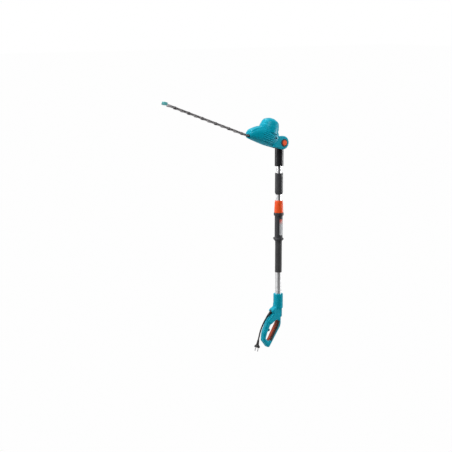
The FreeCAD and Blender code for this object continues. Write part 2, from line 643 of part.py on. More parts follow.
def make_motor():
    def at_motor(shape):
        moved = shape.copy()
        moved.translate(Vector(-MOTOR_L, 0, 0))
        return placed_in_head(moved)

    save("stator", at_motor(ring(STATOR_R, STATOR_BORE_R, STACK_LOW_H, STACK_HIGH_H)))
    windings = [ring(33, 24, STACK_LOW_H - 5.5, STACK_LOW_H), ring(33, 24, STACK_HIGH_H, STACK_HIGH_H + 4)]
    save("field_windings", at_motor(Part.makeCompound(windings)))
    bearings = [ring(BEARING_R, BEARING_BORE_R, low, low + BEARING_W) for low in (-2, 79)]
    save("motor_bearings", at_motor(Part.makeCompound(bearings)))
    holders = []
    brushes = []
    for side in (-1, 1):
        y0, y1 = sorted((side * 14, side * 28))
        holder = block((-5, y0, 67), (5, y1, 76))
        b0, b1 = sorted((side * 12.3, side * 24))
        brush = block((-3, b0, 69), (3, b1, 74))
        holders.append(holder.cut(brush))
        brushes.append(brush)
    save("brush_holders", at_motor(Part.makeCompound(holders)))
    save("carbon_brushes", at_motor(Part.makeCompound(brushes)))

    save("armature_core", at_motor(ring(ARMATURE_R, SHAFT_R, STACK_LOW_H, STACK_HIGH_H)))
    save("commutator", at_motor(ring(COMMUTATOR_R, SHAFT_R, 65, 77)))
    fan = ring(9, SHAFT_R, 8, 17).fuse(ring(FAN_R, 8, 8, 9.2))
    for i in range(FAN_VANES):
        vane = block((12, -0.6, 9), (FAN_R - 1, 0.6, 16.5))
        vane.rotate(Vector(12, 0, 9), Vector(0, 0, 1), 18)
        vane.rotate(Vector(0, 0, 0), Vector(0, 0, 1), 360 / FAN_VANES * i)
        fan = fan.fuse(vane)
    save("cooling_fan", at_motor(fan))
    shaft = Part.makeCylinder(SHAFT_R, 102, Vector(0, 0, -16))
    shaft = shaft.cut(ring(8, 2.9, -17, -4))
    pinion = toothed(PINION_TEETH, 2.8, 4.85, 1.9, 0.55, 0.0, -16, -4)
    save("armature_shaft", at_motor(shaft.fuse(pinion)))


def toothed(count, root_r, tip_r, root_width, tip_width, first_deg, z0, z1):
    """Straight-toothed gear blank about Z with its first tooth at first_deg."""
    blank = Part.makeCylinder(root_r, z1 - z0, Vector(0, 0, z0))
    teeth = []
    for i in range(count):
        corners = [(root_r - 0.4, -root_width / 2), (tip_r, -tip_width / 2),
                   (tip_r, tip_width / 2), (root_r - 0.4, root_width / 2)]
        points = [Vector(x, y, z0) for x, y in corners]
        tooth = Part.Face(Part.makePolygon(points + points[:1])).extrude(Vector(0, 0, z1 - z0))
        tooth.rotate(Vector(0, 0, 0), Vector(0, 0, 1), first_deg + 360 / count * i)
        teeth.append(tooth)
    return blank.multiFuse(teeth)


def make_gearcase():
    inner = boat_solid(SHELL_WALL + 0.3)
    plate = inner.common(block((-176, -60, -2), (-57, 60, 4)))
    plate = plate.fuse(ring(BEARING_R + 3, BEARING_R, -2, 5).translated(Vector(-MOTOR_L, 0, 0)))
    plate = plate.fuse(ring(BEARING_R + 3, BEARING_R, -4, 4).translated(Vector(-GEAR_L, 0, 0)))
    for l in BAR_BOLTS_L:
        plate = plate.fuse(Part.makeCylinder(5.0, -BAR_TOP_H, Vector(-l, 0, BAR_TOP_H)))
        plate = plate.cut(Part.makeCylinder(2.5, -BAR_TOP_H - 1, Vector(-l, 0, BAR_TOP_H - 1)))
    for side in (-1, 1):
        l, h = ARM_SCREW
        plate = plate.cut(rod(ARM_SCREW_R + 2.3, (-l, side * 31.7, h), (-l, side * 60, h)))
    plate = plate.cut(Part.makeCylinder(BEARING_R, 20, Vector(-MOTOR_L, 0, -3)))
    plate = plate.cut(Part.makeCylinder(BEARING_R, 12, Vector(-GEAR_L, 0, -5)))
    cover = boat_solid(SHELL_WALL + 1.2).common(block((-171, -60, -36), (-57, 60, -32.5)))
    cover = cover.fuse(ring(BEARING_R + 2, BEARING_R, -34.8, -31).translated(Vector(-GEAR_L, 0, 0)))
    cover = cover.cut(Part.makeCylinder(BEARING_R, 20, Vector(-GEAR_L, 0, -37)))
    for y in (-11, 11):
        cover = cover.fuse(Part.makeCylinder(2.6, 31.5, Vector(-61, y, -33.5)))
    save("gearcase_plate", placed_in_head(plate))
    save("gearcase_cover", placed_in_head(cover))

    def at_gear(shape):
        moved = shape.copy()
        moved.translate(Vector(-GEAR_L, 0, 0))
        return placed_in_head(moved)

    bearings = [ring(BEARING_R, BEARING_BORE_R, -4, 3), ring(BEARING_R, BEARING_BORE_R, -36, -31)]
    save("gear_bearings", at_gear(Part.makeCompound(bearings)))
    wheel = toothed(WHEEL_TEETH, 30.7, 32.8, 1.9, 0.7, 180 / WHEEL_TEETH, -15, -7)
    wheel = wheel.fuse(Part.makeCylinder(10, 11, Vector(0, 0, -17)))
    wheel = wheel.cut(Part.makeCylinder(CRANK_SHAFT_R, 40, Vector(0, 0, -30)))
    for i in range(6):
        hole = Part.makeCylinder(5, 20, Vector(19.5, 0, -20))
        hole.rotate(Vector(0, 0, 0), Vector(0, 0, 1), 60 * i)
        wheel = wheel.cut(hole)
    save("drive_gear", at_gear(wheel))
    shaft = fuse_all([
        Part.makeCylinder(CRANK_SHAFT_R, 26.2, Vector(0, 0, -30.7)),
        Part.makeCylinder(SHAFT_R, 39, Vector(0, 0, -36)),
        Part.makeCylinder(CRANK_PIN_R, 3.0, Vector(CRANK_THROW, 0, BLADE_MID_H)),
        Part.makeCylinder(CRANK_PIN_R, 3.0, Vector(-CRANK_THROW, 0, BLADE_MID_H - 3)),
    ])
    save("eccentric_shaft", at_gear(shaft))


# ---------------------------------------------------------------- cutter
def blade(low, crank_l, slot_back, slot_front, first_tooth):
    """One toothed blade; its rear window clears the crank pin over the whole turn and stroke."""
    sweep = CRANK_THROW + CRANK_PIN_R + 0.5
    window_back = crank_l - sweep - CRANK_THROW
    window_front = crank_l + sweep + CRANK_THROW
    frame_half = sweep + BLADE_FRAME
    outline = [
        (-window_back + 8.5, -frame_half), (-window_front - 5, -frame_half),
        (-window_front - 11, -BLADE_SPINE),
    ]
    for i in range(first_tooth, BLADE_TEETH):
        l = FIRST_TOOTH_L + BLADE_PITCH * i
        outline += [
            (-l + TOOTH_ROOT, -BLADE_SPINE), (-l + TOOTH_TIP, -TOOTH_REACH),
            (-l - TOOTH_TIP, -TOOTH_REACH), (-l - TOOTH_ROOT, -BLADE_SPINE),
        ]
    outline += [(-BLADE_END_L + 6, -BLADE_SPINE), (-BLADE_END_L, -BLADE_SPINE + 6)]
    outline += [(x, -y) for x, y in reversed(outline)]
    points = [Vector(x, y, low) for x, y in outline]
    plate = Part.Face(Part.makePolygon(points + points[:1])).extrude(Vector(0, 0, BLADE_THICK))
    window = block((-window_front, -sweep, low - 1), (-window_back, sweep, low + BLADE_THICK + 1))
    plate = plate.cut(window)
    for i in range(SCREW_COUNT):
        l = FIRST_SCREW_L + SCREW_PITCH * i
        slot = block((-l - slot_front, -3.4, low - 1), (-l + slot_back, 3.4, low + BLADE_THICK + 1))
        plate = plate.cut(slot)
    return plate


def make_cutter():
    stroke = 2 * CRANK_THROW
    upper_low = BLADE_MID_H + BLADE_GAP / 2
    lower_low = BLADE_MID_H - BLADE_GAP / 2 - BLADE_THICK
    save("blade_upper", placed_in_head(blade(upper_low, GEAR_L - CRANK_THROW, stroke + 3.5, 3.5, 0)))
    save("blade_lower", placed_in_head(blade(lower_low, GEAR_L + CRANK_THROW, 3.5, stroke + 3.5, 1)))

    bar_low = upper_low + BLADE_THICK + BLADE_GAP
    bar = block((-694, -11, bar_low), (-150, 11, bar_low + BAR_THICK))
    screws = []
    for i in range(SCREW_COUNT):
        l = FIRST_SCREW_L + SCREW_PITCH * i
        bar = bar.cut(rod(3.0, (-l, 0, bar_low - 1), (-l, 0, bar_low + 10)))
        parts = [
            rod(3.0, (-l, 0, lower_low - 2), (-l, 0, bar_low + BAR_THICK + 1)),
            rod(6.5, (-l, 0, lower_low - 3.0), (-l, 0, lower_low - 0.2)),
            rod(5.0, (-l, 0, bar_low + BAR_THICK), (-l, 0, bar_low + BAR_THICK + 2.0)),
        ]
        screws.append(fuse_all(parts))
    for l in BAR_BOLTS_L:
        bar = bar.cut(rod(2.5, (-l, 0, bar_low - 1), (-l, 0, bar_low + 10)))
        screws.append(rod(2.5, (-l, 0, bar_low), (-l, 0, -4)))
    save("guide_bar", placed_in_head(bar))
    save("blade_screws", placed_in_head(Part.makeCompound(screws)))

    guard_side = rounded_wire([
        (-684, -31, 3), (-684, -17, 3), (-697, -17, 5),
        (-BLADE_TIP_L, -21, 4), (-BLADE_TIP_L, -27, 4), (-697, -31, 5),
    ])
    guard = slab(guard_side, -15, 15)
    nose = Part.makeCylinder(15.0, 60, Vector(-BLADE_TIP_L + 15, 0, -50))
    guard = guard.common(nose.fuse(block((-BLADE_TIP_L + 15, -15, -50), (-680, 15, 10))))
    guard = guard.cut(block((-694.1, -11.1, bar_low - 0.1), (-680, 11.1, bar_low + BAR_THICK + 0.1)))
    save("tip_guard", placed_in_head(guard))


# ---------------------------------------------------------------- tilt joint
def make_knuckle():
    drum = rod(CORE_R, (0, -CORE_HALF, PIVOT_Z), (0, CORE_HALF, PIVOT_Z))
    stub = Part.makeCylinder(NECK_R - 0.5, 20, Vector(0, 0, NECK_TOP))
    core = fuse_all([drum, stub])
    core = core.cut(Part.makeCylinder(INNER_TUBE_R, HEAD_TUBE_TOP - NECK_TOP + 1, Vector(0, 0, NECK_TOP - 1)))
    core = core.cut(rod(6.05, (0, -30, PIVOT_Z), (0, 30, PIVOT_Z)))
    discs = []
    for side in (-1, 1):
        y0, y1 = sorted((side * (CORE_HALF - 2.5), side * CORE_HALF))
        teeth = toothed(36, 21.5, 24, 2.4, 1.2, 0, 0, 2.5)
        teeth.rotate(Vector(0, 0, 0), Vector(1, 0, 0), -90)
        teeth.translate(Vector(0, y0, PIVOT_Z))
        teeth = teeth.cut(rod(6.05, (0, -30, PIVOT_Z), (0, 30, PIVOT_Z)))
        core = core.cut(teeth)
        discs.append(teeth)
    save("hinge_core", core)
    save("lock_discs", Part.makeCompound(discs))
    save("pivot_pin", placed_in_head(rod(6.0, (0, -26.9, 0), (0, 26.9, 0))))
    rims = []
    springs = []
    for name, side in (("release_button_near", -1), ("release_button_far", 1)):
        button = rod(BUTTON_R, (0, side * 31.5, 0), (0, side * 42.5, 0))
        face = [e for e in button.Edges
                if e.BoundBox.YLength < 1e-4 and abs(e.BoundBox.YMin - side * 42.5) < 1e-4]
        save(name, placed_in_head(button.makeFillet(2.5, face)))
        rim = rod(RIM_R, (0, side * 36.5, 0), (0, side * 39.8, 0))
        rims.append(rim.cut(rod(BUTTON_R + 0.3, (0, side * 35, 0), (0, side * 50, 0))))
        spring = spring_sleeve(9.0, 0.5, 3.5)
        spring.rotate(Vector(0, 0, 0), Vector(1, 0, 0), -90)
        spring.translate(Vector(0, 27.5 if side > 0 else -31.0, 0))
        springs.append(spring)
    save("hinge_rims", placed_in_head(Part.makeCompound(rims)))
    save("release_springs", placed_in_head(Part.makeCompound(springs)))


# ---------------------------------------------------------------- build
make_pole()
make_handle()
make_cord()
make_head_shells()
make_motor()
make_gearcase()
make_cutter()
make_knuckle()
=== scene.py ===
import json
import math

import bmesh
import bpy
from mathutils import Matrix, Vector


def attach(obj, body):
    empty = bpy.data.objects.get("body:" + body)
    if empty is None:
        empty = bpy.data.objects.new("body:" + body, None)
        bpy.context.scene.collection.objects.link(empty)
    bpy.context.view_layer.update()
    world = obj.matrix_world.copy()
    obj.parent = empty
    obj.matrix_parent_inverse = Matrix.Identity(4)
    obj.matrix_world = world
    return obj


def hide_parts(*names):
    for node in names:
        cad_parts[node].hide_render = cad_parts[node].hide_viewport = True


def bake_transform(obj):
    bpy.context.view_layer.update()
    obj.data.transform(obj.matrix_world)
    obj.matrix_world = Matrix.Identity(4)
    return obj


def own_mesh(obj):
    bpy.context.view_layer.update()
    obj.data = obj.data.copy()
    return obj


# Electric pole hedge trimmer, metres. Origin on the pole's axis at the middle of the foam grip,
# +Z up the pole, -X to the side the blade points to, Y along the head's tilt axis.

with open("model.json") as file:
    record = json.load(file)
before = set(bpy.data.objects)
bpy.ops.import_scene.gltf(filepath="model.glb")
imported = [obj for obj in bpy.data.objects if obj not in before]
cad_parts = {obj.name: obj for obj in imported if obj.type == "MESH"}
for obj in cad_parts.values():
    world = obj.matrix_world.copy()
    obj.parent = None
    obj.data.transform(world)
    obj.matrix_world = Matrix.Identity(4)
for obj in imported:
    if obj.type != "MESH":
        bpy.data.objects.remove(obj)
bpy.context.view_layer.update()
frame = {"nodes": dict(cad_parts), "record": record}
nodes = frame["nodes"]
scene = bpy.context.scene
collection = scene.collection

MM = 0.001
PIVOT_Z = 0.553
BLADE_RISE = math.radians(20)


# ---------------------------------------------------------------- camera
def make_camera():
    turn = math.radians(37)
    rise = math.radians(10)
    distance = 6.0
    focal_px = 1242.2
    right = Vector((math.cos(turn), -math.sin(turn), 0))
    back = Vector((-math.sin(turn) * math.cos(rise), -math.cos(turn) * math.cos(rise), math.sin(rise)))
    up = back.cross(right)
    side = 52.4 / focal_px * distance
    lift = -30.3 / focal_px * distance
    data = bpy.data.cameras.new("camera")
    data.sensor_width = 36
    data.lens = 36 * focal_px / 452
    data.clip_end = 200
    camera = bpy.data.objects.new("camera", data)
    collection.objects.link(camera)
    place = Matrix((right, up, back)).transposed().to_4x4()
    place.translation = back * distance - right * side - up * lift
    camera.matrix_world = place
    scene.camera = camera


make_camera()


# ---------------------------------------------------------------- node helpers
def new_material(name):
    material = bpy.data.materials.new(name)
    material.use_nodes = True
    tree = material.node_tree
    tree.nodes.clear()
    out = tree.nodes.new("ShaderNodeOutputMaterial")
    shader = tree.nodes.new("ShaderNodeBsdfPrincipled")
    tree.links.new(shader.outputs["BSDF"], out.inputs["Surface"])
    return material, tree, shader


def noise(tree, scale, detail=3.0, rough=0.55, stretch=(1, 1, 1)):
    coords = tree.nodes.new("ShaderNodeTexCoord")
    mapping = tree.nodes.new("ShaderNodeMapping")
    mapping.inputs["Scale"].default_value = stretch
    tree.links.new(coords.outputs["Object"], mapping.inputs["Vector"])
    node = tree.nodes.new("ShaderNodeTexNoise")
    node.inputs["Scale"].default_value = scale
    node.inputs["Detail"].default_value = detail
    node.inputs["Roughness"].default_value = rough
    tree.links.new(mapping.outputs["Vector"], node.inputs["Vector"])
    return node.outputs["Fac"]


def ramp(tree, source, low, high, start=0.0, end=1.0):
    node = tree.nodes.new("ShaderNodeMapRange")
    node.inputs["From Min"].default_value = start
    node.inputs["From Max"].default_value = end
    node.inputs["To Min"].default_value = low
    node.inputs["To Max"].default_value = high
    tree.links.new(source, node.inputs["Value"])
    return node.outputs["Result"]


def two_tone(tree, source, dark, light, start=0.3, end=0.7):
    node = tree.nodes.new("ShaderNodeValToRGB")
    node.color_ramp.elements[0].position = start
    node.color_ramp.elements[1].position = end
    node.color_ramp.elements[0].color = (*dark, 1)
    node.color_ramp.elements[1].color = (*light, 1)
    tree.links.new(source, node.inputs["Fac"])
    return node.outputs["Color"]


def scaled(colour, factor):
    return tuple(min(1.0, c * factor) for c in colour)


def bump(tree, source, strength, depth, under=None):
    node = tree.nodes.new("ShaderNodeBump")
    node.inputs["Strength"].default_value = strength
    node.inputs["Distance"].default_value = depth
    tree.links.new(source, node.inputs["Height"])
    if under is not None:
        tree.links.new(under, node.inputs["Normal"])
    return node.outputs["Normal"]


# ---------------------------------------------------------------- materials
def moulded(name, colour, rough=0.42, grain=0.00002, grain_scale=1500.0, mottle=0.06, specular=0.5):
    """Moulded plastic: slight mottling, fine spark-eroded grain, uneven gloss."""
    material, tree, shader = new_material(name)
    broad = noise(tree, 22, 4)
    shader.inputs["Specular IOR Level"].default_value = specular
    shader.inputs["Coat Weight"].default_value = 0.0
    shader.inputs["Coat Roughness"].default_value = 0.2
    tone = two_tone(tree, broad, scaled(colour, 1 - mottle), scaled(colour, 1 + mottle))
    tree.links.new(tone, shader.inputs["Base Color"])
    gloss = ramp(tree, noise(tree, 60, 5), rough - 0.05, rough + 0.07, 0.3, 0.7)
    tree.links.new(gloss, shader.inputs["Roughness"])
    fine = bump(tree, noise(tree, grain_scale, 2, 0.6), 0.2, grain)
    wave = bump(tree, noise(tree, 28, 1), 0.1, 0.0002, fine)
    tree.links.new(wave, shader.inputs["Normal"])
    return material


def metal(name, colour, rough=0.28, stretch=(1, 1, 1), scale=400.0, depth=0.00002, mottle=0.06):
    """Bare metal with drawn or ground lines along one axis and faint handling marks."""
    material, tree, shader = new_material(name)
    shader.inputs["Metallic"].default_value = 1.0
    shader.inputs["Anisotropic"].default_value = 0.0
    lines = noise(tree, scale, 3, 0.7, stretch)
    broad = noise(tree, 30, 5)
    tone = two_tone(tree, broad, scaled(colour, 1 - mottle), scaled(colour, 1 + mottle / 2))
    tree.links.new(tone, shader.inputs["Base Color"])
    tree.links.new(ramp(tree, lines, rough - 0.07, rough + 0.10, 0.3, 0.7), shader.inputs["Roughness"])
    tree.links.new(bump(tree, lines, 0.3, depth), shader.inputs["Normal"])
    return material


def soft(name, colour, rough=0.8, cell=900.0, depth=0.0003, sheen=0.15):
    """Foam or soft rubber: small open cells and a dusty sheen."""
    material, tree, shader = new_material(name)
    shader.inputs["Specular IOR Level"].default_value = 0.35
    shader.inputs["Sheen Weight"].default_value = sheen
    shader.inputs["Sheen Roughness"].default_value = 0.5
    coords = tree.nodes.new("ShaderNodeTexCoord")
    cells = tree.nodes.new("ShaderNodeTexVoronoi")
    cells.inputs["Scale"].default_value = cell
    tree.links.new(coords.outputs["Object"], cells.inputs["Vector"])
    broad = noise(tree, 40, 5)
    tone = two_tone(tree, broad, scaled(colour, 0.8), scaled(colour, 1.25))
    tree.links.new(tone, shader.inputs["Base Color"])
    tree.links.new(ramp(tree, broad, rough - 0.08, rough + 0.08, 0.3, 0.7), shader.inputs["Roughness"])
    rough_skin = bump(tree, cells.outputs["Distance"], 0.5, depth)
    tree.links.new(bump(tree, noise(tree, 250, 4), 0.3, depth, rough_skin), shader.inputs["Normal"])
    return material


TEAL = (0.0, 0.31, 0.42)
MATERIALS = {
    "tube_silver": metal("anodised_tube", (0.84, 0.84, 0.85), 0.31, (1, 1, 0.02), 500.0, 0.000002, 0.02),
    "teal": moulded("teal_plastic", TEAL, 0.38, specular=0.12),
    "dark_grey": moulded("dark_grey_plastic", (0.040, 0.040, 0.044), 0.42, specular=0.35),
    "black": moulded("black_plastic", (0.008, 0.008, 0.010), 0.36, specular=0.35),
    "orange": moulded("orange_plastic", (0.84, 0.095, 0.018), 0.38, specular=0.2),
    # Trigger: the orange plastic darkened, a painted shade for the shadow between the handle shells.
    "trigger_red": moulded("trigger_orange_painted_shade", (0.40, 0.052, 0.018), 0.45, specular=0.2),
    "guard_teal": moulded("guard_plastic", (0.09, 0.36, 0.37), 0.5, specular=0.3),
    "soft_black": soft("soft_black_rubber", (0.040, 0.040, 0.042)),
    "soft_brown": soft("soft_dark_rubber", (0.035, 0.022, 0.018), 0.7, 1400.0, 0.0001),
    "label": moulded("label_film", (0.55, 0.56, 0.58), 0.30, 0.00001),
    "cord": soft("cable_rubber", (0.012, 0.012, 0.012), 0.5, 2500.0, 0.00003, 0.05),
    "steel": metal("ground_steel", (0.62, 0.62, 0.63), 0.30, (1, 1, 1), 700.0),
    "blade_steel": metal("blade_steel", (0.24, 0.225, 0.23), 0.36, (0.06, 1, 1), 900.0, 0.00003, 0.18),
    "bar_alloy": metal("guide_bar_alloy", (0.52, 0.51, 0.52), 0.44, (0.04, 1, 1), 800.0, 0.00003, 0.08),
    # Screw steel darkened, a painted shade for the shadow in the pockets the screws sit in.
    "screw": metal("screw_steel_painted_shade", (0.10, 0.10, 0.105), 0.42, (1, 1, 1), 900.0),
    "copper": metal("copper_wire", (0.72, 0.30, 0.14), 0.35, (1, 1, 12), 260.0, 0.0004, 0.15),
    "iron": metal("core_laminations", (0.30, 0.30, 0.31), 0.45, (0.05, 0.05, 6), 300.0, 0.0001, 0.15),
    "carbon": moulded("pressed_carbon", (0.02, 0.02, 0.02), 0.6, 0.0001, 900.0, 0.2),
    "brass": metal("machined_brass", (0.72, 0.55, 0.25), 0.30, (1, 1, 1), 600.0),
    "plate_alloy": metal("cast_alloy", (0.56, 0.56, 0.57), 0.5, (1, 1, 1), 260.0, 0.0003, 0.12),
}


def label_material():
    """Printed film: pale grey with a warm red band that fades at its top."""
    material, tree, shader = new_material("label_print")
    shader.inputs["Roughness"].default_value = 0.32
    coords = tree.nodes.new("ShaderNodeTexCoord")
    split = tree.nodes.new("ShaderNodeSeparateXYZ")
    tree.links.new(coords.outputs["Object"], split.inputs["Vector"])
    band = ramp(tree, split.outputs["Z"], 0.0, 1.0, 0.155, 0.178)
    tone = two_tone(tree, band, (0.50, 0.51, 0.52), (0.62, 0.16, 0.13), 0.1, 0.9)
    tree.links.new(tone, shader.inputs["Base Color"])
    tree.links.new(bump(tree, noise(tree, 180, 2), 0.1, 0.00005), shader.inputs["Normal"])
    return material


MATERIALS["label"] = label_material()


def dress(obj, slot_name):
    obj.data.materials.clear()
    obj.data.materials.append(MATERIALS[slot_name])


for part in frame["record"]["subparts"]:
    dress(nodes[part["node"]], part["material_slot"])


# ---------------------------------------------------------------- mesh helpers
def mesh_object(name, vertices, faces, slot_name, body, replaced=(), smooth=True):
    mesh = bpy.data.meshes.new(name)
    mesh.from_pydata([tuple(v) for v in vertices], [], faces)
    mesh.update()
    if smooth:
        mesh.shade_smooth()
    obj = bpy.data.objects.new(name, mesh)
    collection.objects.link(obj)
    mesh.materials.append(MATERIALS[slot_name])
    if body:
        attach(obj, body)
    if replaced:
        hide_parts(*replaced)
    return obj


def smooth_to(obj, degrees):
    """Smooth shading, with a crisp edge wherever faces meet at more than this angle."""
    obj.data.shade_smooth()
    obj.data.set_sharp_from_angle(angle=math.radians(degrees))


def grid_faces(rows, columns, closed=True, cap_start=False, cap_end=False):
    """Quads over rows of points; each row is a loop if closed."""
    faces = []
    last = columns if closed else columns - 1
    for i in range(rows - 1):
        for j in range(last):
            k = (j + 1) % columns
            here, ahead = i * columns, (i + 1) * columns
            faces.append((here + j, ahead + j, ahead + k, here + k))
    if cap_start:
        faces.append(tuple(range(columns)))
    if cap_end:
        faces.append(tuple(reversed(range((rows - 1) * columns, rows * columns))))
    return faces


def turned(profile, segments=96, shape=None):
    """Points and faces of a closed ring-shaped solid turned about Z from a closed (r, z) profile."""
    vertices = []
    for r, z in profile:
        for j in range(segments):
            turn = math.tau * j / segments
            reach = r + (shape(turn, z, r) if shape else 0.0)
            vertices.append((reach * math.cos(turn), reach * math.sin(turn), z))
    rows = len(profile)
    faces = grid_faces(rows, segments)
    for j in range(segments):
        k = (j + 1) % segments
        faces.append(((rows - 1) * segments + j, j, k, (rows - 1) * segments + k))
    return vertices, faces


def head_matrix():
    """From the head's own frame (blade along -X, millimetres) to the row frame."""
    return Matrix.Translation((0, 0, PIVOT_Z)) @ Matrix.Rotation(BLADE_RISE, 4, "Y") @ Matrix.Scale(MM, 4)


def smooth_step(t):
    t = max(0.0, min(1.0, t))
    return t * t * (3 - 2 * t)


def through(points, t):
    """Smooth curve value at t through (t, values...) rows sorted by t."""
    for i in range(len(points) - 1):
        if t <= points[i + 1][0]:
            break
    a, b = points[i], points[i + 1]
    before = points[i - 1] if i else a
    after = points[i + 2] if i + 2 < len(points) else b
    span = b[0] - a[0]
    u = max(0.0, (t - a[0]) / span)
    values = []
    for k in range(1, len(a)):
        slope_a = (b[k] - before[k]) / (b[0] - before[0]) * span
        slope_b = (after[k] - a[k]) / (after[0] - a[0]) * span
        values.append((2 * u**3 - 3 * u**2 + 1) * a[k] + (u**3 - 2 * u**2 + u) * slope_a
                      + (-2 * u**3 + 3 * u**2) * b[k] + (u**3 - u**2) * slope_b)
    return values


def grooved(distance, width, depth):
    """Depth of a round-bottomed groove at a distance from its middle line."""
    share = abs(distance) / width
    return depth * (1 - smooth_step(share)) if share < 1 else 0.0


# ---------------------------------------------------------------- cord
CORD_D = 7 * MM
CORD_ROUTE = [(-70, -292), (-87, -313), (-101, -337), (-111, -360), (-117, -382), (-121, -396)]


def make_cord(plug):
    curve = bpy.data.curves.new("power_lead", "CURVE")
    curve.dimensions = "3D"
    curve.bevel_depth = CORD_D / 2
    curve.bevel_resolution = 8
    curve.resolution_u = 24
    curve.use_fill_caps = True
    spline = curve.splines.new("NURBS")
    spline.points.add(len(CORD_ROUTE) - 1)
    for point, (x, z) in zip(spline.points, CORD_ROUTE):
        point.co = (x * MM, 0, z * MM, 1)
    spline.order_u = 3
    spline.use_endpoint_u = True
    cord = bpy.data.objects.new("power_lead", curve)
    collection.objects.link(cord)
    cord.data.materials.append(MATERIALS["cord"])
    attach(cord, "grip_pole")
    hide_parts("power_cord")
    x, z = CORD_ROUTE[0]


# ---------------------------------------------------------------- pole pieces
GRIP_R = 16.5
GRIP_HALF = 77.0
TUBE_R = 14.75


def make_foam_grip():
    """Foam sleeve with a rolled lower end, faint rings round it and one faint lengthwise moulding line."""
    outer = rounded_profile([(TUBE_R, -GRIP_HALF, 0), (GRIP_R, -GRIP_HALF, 1.2), (GRIP_R, GRIP_HALF, 0)], 8)
    outer = resampled(outer, 1.5)
    profile = outer + [(TUBE_R, GRIP_HALF)]

    def shape(turn, z, r):
        if r < 16.2 or abs(z) > GRIP_HALF - 1:
            return 0.0
        ribs = 0.22 * (0.5 - 0.5 * math.cos(math.tau * z / 5.5)) ** 3
        seam = grooved(abs(math.sin(turn)) * r, 0.6, 0.35) if math.cos(turn) > 0 else 0.0
        return -ribs - seam

    vertices, faces = turned(profile, 128, shape)
    scaled_points = [Vector(v) * MM for v in vertices]
    grip = mesh_object("foam_sleeve", scaled_points, faces, "soft_black", "grip_pole", ["foam_grip"])
    smooth_to(grip, 50)


def make_gland():
    """Tapered strain relief with flexing slots, from the handle's hump to the cord."""
    base, tip = Vector((-44, 0, -269)), Vector((-70, 0, -292))
    way = (tip - base).normalized()
    length = (tip - base).length
    outline = [(0.05, -6), (9.5, -6), (9.5, -3), (6.5, -3), (6.5, 0), (7.0, 0)]
    rib_count = 5
    for i in range(rib_count):
        start = 7 + 5 * i
        for at, sunk in ((start, 0), (start + 0.25, 0.8), (start + 1.4, 0.8), (start + 1.65, 0)):
            if at < length:
                outline.append((7.0 - 2.6 * at / length - sunk, at))
    outline += [(4.4, length - 0.4), (4.1, length), (3.5, length), (0.05, length)]
    vertices, faces = turned(outline, 64)
    turn = Vector((0, 0, 1)).rotation_difference(way).to_matrix()
    gland = mesh_object("strain_relief", [(base + turn @ Vector(v)) * MM for v in vertices], faces, "cord",
                        "grip_pole", ["cord_gland"])
    smooth_to(gland, 40)


def make_plug():
    """Two-pin plug: flange, waisted finger grip with ribs, neck round the cord."""
    neck, face = Vector((-121, 0, -396)), Vector((-129.6, 0, -432.6))
    way = (neck - face).normalized()
    length = (neck - face).length
    rows = [
        (0.0, 15.6, 10.6), (0.5, 16.3, 11.3), (1.2, 16.5, 11.5), (5.0, 16.1, 11.2), (8.2, 15.2, 10.5),
        (9.4, 14.0, 9.4), (10.4, 11.6, 8.3), (12.0, 8.6, 7.4), (13.5, 7.6, 7.2), (16.0, 7.2, 6.9),
        (22.0, 6.5, 6.4), (30.0, 5.5, 5.5), (35.0, 4.9, 4.9), (length - 0.6, 4.5, 4.5), (length, 4.1, 4.1),
    ]
    heights = []
    for a, b in zip(rows, rows[1:]):
        count = max(1, math.ceil((b[0] - a[0]) / 0.5))
        heights += [a[0] + (b[0] - a[0]) * k / count for k in range(count)]
    heights.append(length)
    segments = 96
    vertices = []
    for z in heights:
        wide, deep = through(rows, z)
        ribs = 0.45 * (0.5 - 0.5 * math.cos(math.tau * z / 2.6)) if 15.5 < z < 33 else 0.0
        for j in range(segments):
            turn = math.tau * j / segments
            c, s = math.cos(turn), math.sin(turn)
            sunk = ribs * smooth_step((abs(c) - 0.35) / 0.3)
            vertices.append(Vector((c * (deep - sunk), s * (wide - sunk), z)))
    faces = grid_faces(len(heights), segments, True, True, True)
    turn = Vector((0, 0, 1)).rotation_difference(way).to_matrix()
    plug = mesh_object("plug_moulding", [(face + turn @ v) * MM for v in vertices], faces, "cord",
                       "grip_pole", ["plug_body"])
    smooth_to(plug, 45)
    return plug


# ---------------------------------------------------------------- handle inlays
LOOP_HALF = 14.5
LOOP_ROUND = 6.5
INLAY_START_Y = -9.9


